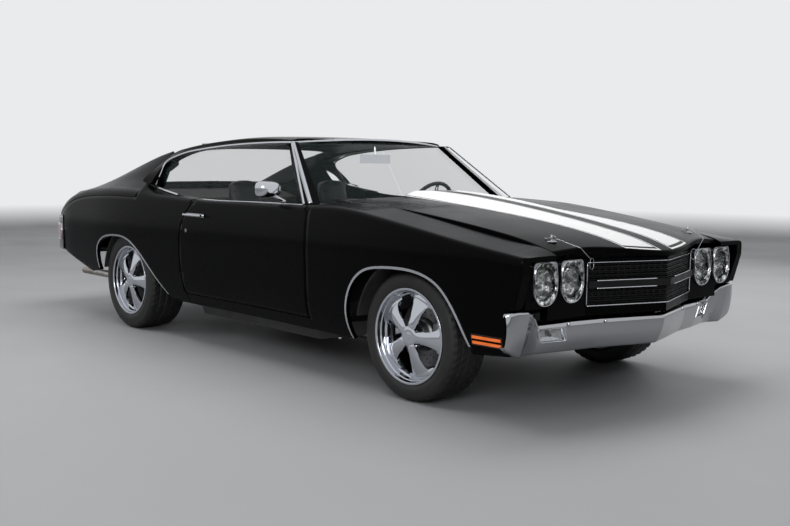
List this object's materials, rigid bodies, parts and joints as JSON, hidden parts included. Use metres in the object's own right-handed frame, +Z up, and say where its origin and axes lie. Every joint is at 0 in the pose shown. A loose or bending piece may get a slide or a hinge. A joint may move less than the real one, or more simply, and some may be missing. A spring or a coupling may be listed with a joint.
{
  "type": "muscle car",
  "caption": "Two-door hardtop muscle car with long striped hood, V-shaped grille, chrome bumpers, opening doors, hood and trunk, and steered front wheels.",
  "frame": {"origin": "on the ground at the middle of the length and width", "axes": "+X to the front of the car, +Y to its left, +Z up"},
  "size_m": [5.009, 1.9883, 1.338],
  "materials": {
    "body_paint": "gloss black paint with two white hood and deck stripes",
    "chassis_black": "satin black",
    "floor_black": "satin black undercoat",
    "tinted_glass": "clear, light green tint",
    "chrome": "bright chrome plate",
    "grille_black": "satin black with bright mouldings",
    "clear_lens": "fluted clear glass",
    "red_lens": "red lens",
    "amber_lens": "amber lens",
    "black_vinyl": "black grained vinyl",
    "dash_black": "black grained plastic",
    "wheel_black": "black rim",
    "mirror_glass": "silvered glass",
    "engine_iron": "painted cast iron",
    "radiator_metal": "black painted core",
    "axle_iron": "satin black",
    "exhaust_steel": "bare steel",
    "tank_steel": "bare plated steel",
    "knuckle_iron": "machined cast iron and silver caliper",
    "wheel_chrome": "polished chrome",
    "tyre": "black rubber"
  },
  "bodies": {
    "car_body": {"frame": "chassis_black", "floor_pan": "floor_black", "wheelhouses": "floor_black", "fender_left": "body_paint", "fender_right": "body_paint", "quarter_left": "body_paint", "quarter_right": "body_paint", "rockers": "body_paint", "roof": "body_paint", "fixed_glass": "tinted_glass", "cowl_panel": "body_paint", "nose_panel": "body_paint", "tail_panel": "body_paint", "front_bumper": "chrome", "rear_bumper": "chrome", "grille": "grille_black", "lamp_lenses": "clear_lens", "tail_lamps": "red_lens", "side_markers": "amber_lens", "bright_trim": "chrome", "front_seats": "black_vinyl", "rear_seat": "black_vinyl", "dashboard": "dash_black", "inside_mirror": "mirror_glass", "engine": "engine_iron", "radiator": "radiator_metal", "driveline": "axle_iron", "exhaust": "exhaust_steel", "front_suspension": "chassis_black", "fuel_tank": "tank_steel"},
    "door_left": {"door_left": "body_paint", "door_glass_left": "tinted_glass", "door_hardware_left": "chrome"},
    "door_right": {"door_right": "body_paint", "door_glass_right": "tinted_glass", "door_hardware_right": "chrome"},
    "hood": {"hood": "body_paint"},
    "decklid": {"decklid": "body_paint"},
    "steering_wheel": {"steering_wheel": "wheel_black"},
    "knuckle_left": {"knuckle_left": "knuckle_iron"},
    "knuckle_right": {"knuckle_right": "knuckle_iron"},
    "wheel_front_left": {"wheel_front_left": "wheel_chrome", "tyre_front_left": "tyre"},
    "wheel_front_right": {"wheel_front_right": "wheel_chrome", "tyre_front_right": "tyre"},
    "wheel_rear_left": {"wheel_rear_left": "wheel_chrome", "tyre_rear_left": "tyre"},
    "wheel_rear_right": {"wheel_rear_right": "wheel_chrome", "tyre_rear_right": "tyre"}
  },
  "joints": [
    {"name": "door_left_hinge", "type": "hinge", "parent": "car_body", "child": "door_left", "pos_m": [0.85, 0.9435, 0.6], "axis": [0, 0, -1], "range_deg": [0, 65]},
    {"name": "door_right_hinge", "type": "hinge", "parent": "car_body", "child": "door_right", "pos_m": [0.85, -0.9435, 0.6], "axis": [0, 0, 1], "range_deg": [0, 65]},
    {"name": "hood_hinge", "type": "hinge", "parent": "car_body", "child": "hood", "pos_m": [0.862, 0, 0.972], "axis": [0, -1, 0], "range_deg": [0, 50]},
    {"name": "decklid_hinge", "type": "hinge", "parent": "car_body", "child": "decklid", "pos_m": [-1.575, 0, 1.024], "axis": [0, 1, 0], "range_deg": [0, 60]},
    {"name": "steer_left", "type": "hinge", "parent": "car_body", "child": "knuckle_left", "pos_m": [1.5995, 0.738, 0.326], "axis": [0, 0, 1], "range_deg": [-30, 30]},
    {"name": "steer_right", "type": "hinge", "parent": "car_body", "child": "knuckle_right", "pos_m": [1.5995, -0.738, 0.326], "axis": [0, 0, 1], "range_deg": [-30, 30]},
    {"name": "steering_wheel_turn", "type": "hinge", "parent": "car_body", "child": "steering_wheel", "pos_m": [0.455, 0.38, 0.88], "axis": [-0.9135, 0, 0.4067], "range_deg": [-360, 360]},
    {"name": "wheel_front_left_roll", "type": "hinge", "parent": "knuckle_left", "child": "wheel_front_left", "pos_m": [1.5995, 0.768, 0.326], "axis": [0, 1, 0], "continuous": true},
    {"name": "wheel_rear_left_roll", "type": "hinge", "parent": "car_body", "child": "wheel_rear_left", "pos_m": [-1.2455, 0.762, 0.338], "axis": [0, 1, 0], "continuous": true},
    {"name": "wheel_front_right_roll", "type": "hinge", "parent": "knuckle_right", "child": "wheel_front_right", "pos_m": [1.5995, -0.768, 0.326], "axis": [0, 1, 0], "continuous": true},
    {"name": "wheel_rear_right_roll", "type": "hinge", "parent": "car_body", "child": "wheel_rear_right", "pos_m": [-1.2455, -0.762, 0.338], "axis": [0, 1, 0], "continuous": true}
  ],
  "couplings": [
    {"joint": "steer_right", "follows": "steer_left", "ratio": 1},
    {"joint": "steering_wheel_turn", "follows": "steer_left", "ratio": 12}
  ]
}
